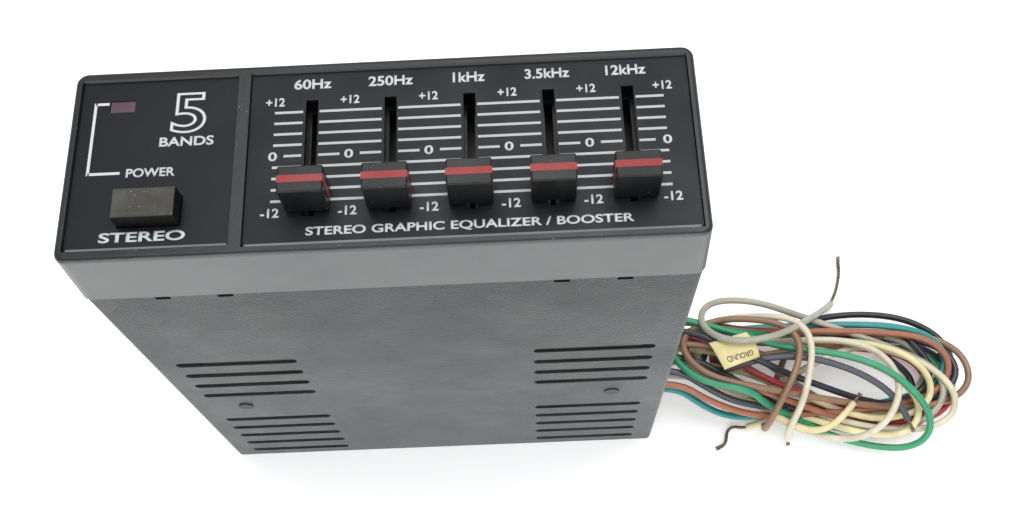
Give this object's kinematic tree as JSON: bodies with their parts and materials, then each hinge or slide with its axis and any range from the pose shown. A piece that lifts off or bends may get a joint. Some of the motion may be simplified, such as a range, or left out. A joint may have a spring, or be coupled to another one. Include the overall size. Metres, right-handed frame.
{
  "type": "graphic equalizer",
  "caption": "Under-dash stereo graphic equalizer with sliding controls, a power push button, a vented steel case and a tied hank of leads.",
  "frame": {"origin": "Centre of the rectangle that the rear edges of the case stand on. The unit is modelled standing on its rear edges, as it stands beside its leads.", "axes": "+Z points out of the front panel, +Y towards the top cover and the top of the lettering, +X right as the front panel is read. Installed under a dashboard it lies with +Y up."},
  "size_m": [0.2666, 0.078, 0.1743],
  "materials": {
    "bezel_plastic": "moulded black, lightly worn along the edges",
    "fascia_print": "printed black plate, satin",
    "case_paint": "dark grey textured enamel",
    "heat_sink_metal": "extruded, plain",
    "plated_steel": "zinc plated",
    "knob_plastic": "moulded black, dusty",
    "index_plastic": "moulded red",
    "button_plastic": "moulded dark grey, dusty",
    "lamp_plastic": "dull red, unlit",
    "switch_plastic": "moulded black",
    "board_laminate": "brown phenolic laminate",
    "component_plastic": "moulded or sleeved components",
    "choke_core": "enamelled winding on a ferrite ring",
    "grommet_rubber": "black",
    "tag_cloth": "cream woven label, soiled",
    "hank_leads": "mixed coloured lead insulation",
    "lead_teal": "flexible insulation",
    "lead_copper": "flexible insulation",
    "lead_dark_grey": "flexible insulation",
    "lead_white": "flexible insulation",
    "lead_tan": "flexible insulation",
    "lead_cream": "flexible insulation",
    "lead_brown": "flexible insulation",
    "lead_black": "flexible insulation",
    "lead_red": "flexible insulation",
    "lead_ground": "flexible insulation",
    "lead_green": "flexible insulation",
    "lead_grey": "flexible insulation"
  },
  "bodies": {
    "case": {"front_bezel": "bezel_plastic", "power_fascia": "fascia_print", "equalizer_fascia": "fascia_print", "power_lamp": "lamp_plastic", "lamp_legs": "plated_steel", "power_switch": "switch_plastic", "control_board": "board_laminate", "bottom_cover": "case_paint", "top_cover": "case_paint", "rear_heat_sink": "heat_sink_metal", "cover_screws": "plated_steel", "bracket_nuts": "plated_steel", "amplifier_board": "board_laminate", "board_spacers": "plated_steel", "board_screws": "plated_steel", "board_link": "switch_plastic", "power_amplifiers": "component_plastic", "capacitors": "component_plastic", "choke": "choke_core", "terminal_strip": "switch_plastic", "harness_grommet": "grommet_rubber", "inner_leads": "hank_leads", "fader_60hz": "plated_steel", "fader_250hz": "plated_steel", "fader_1khz": "plated_steel", "fader_3k5hz": "plated_steel", "fader_12khz": "plated_steel", "lead_teal": "lead_teal", "lead_copper": "lead_copper", "lead_dark_grey": "lead_dark_grey", "lead_white": "lead_white", "lead_tan": "lead_tan", "lead_cream": "lead_cream", "lead_brown": "lead_brown", "lead_black": "lead_black", "lead_red": "lead_red", "lead_ground": "lead_ground", "lead_green": "lead_green", "lead_grey": "lead_grey", "lead_grey_end": "lead_grey", "lead_cream_end": "lead_cream", "harness_hank": "hank_leads", "harness_tie": "lead_brown", "ground_tag": "tag_cloth"},
    "slider_60hz": {"knob_60hz": "knob_plastic", "index_60hz": "index_plastic", "lever_60hz": "plated_steel"},
    "slider_250hz": {"knob_250hz": "knob_plastic", "index_250hz": "index_plastic", "lever_250hz": "plated_steel"},
    "slider_1khz": {"knob_1khz": "knob_plastic", "index_1khz": "index_plastic", "lever_1khz": "plated_steel"},
    "slider_3k5hz": {"knob_3k5hz": "knob_plastic", "index_3k5hz": "index_plastic", "lever_3k5hz": "plated_steel"},
    "slider_12khz": {"knob_12khz": "knob_plastic", "index_12khz": "index_plastic", "lever_12khz": "plated_steel"},
    "button": {"power_button": "button_plastic"}
  },
  "joints": [
    {"name": "slider_60hz_slide", "type": "slide", "parent": "case", "child": "slider_60hz", "axis": [0, 1, 0], "range_m": [0, 0.024]},
    {"name": "slider_250hz_slide", "type": "slide", "parent": "case", "child": "slider_250hz", "axis": [0, 1, 0], "range_m": [0, 0.024]},
    {"name": "slider_1khz_slide", "type": "slide", "parent": "case", "child": "slider_1khz", "axis": [0, 1, 0], "range_m": [0, 0.024]},
    {"name": "slider_3k5hz_slide", "type": "slide", "parent": "case", "child": "slider_3k5hz", "axis": [0, 1, 0], "range_m": [0, 0.024]},
    {"name": "slider_12khz_slide", "type": "slide", "parent": "case", "child": "slider_12khz", "axis": [0, 1, 0], "range_m": [0, 0.024]},
    {"name": "power_button_press", "type": "slide", "parent": "case", "child": "button", "axis": [0, 0, -1], "range_m": [0, 0.0025], "stiffness_N_per_m": 400, "springref_m": -0.001}
  ]
}
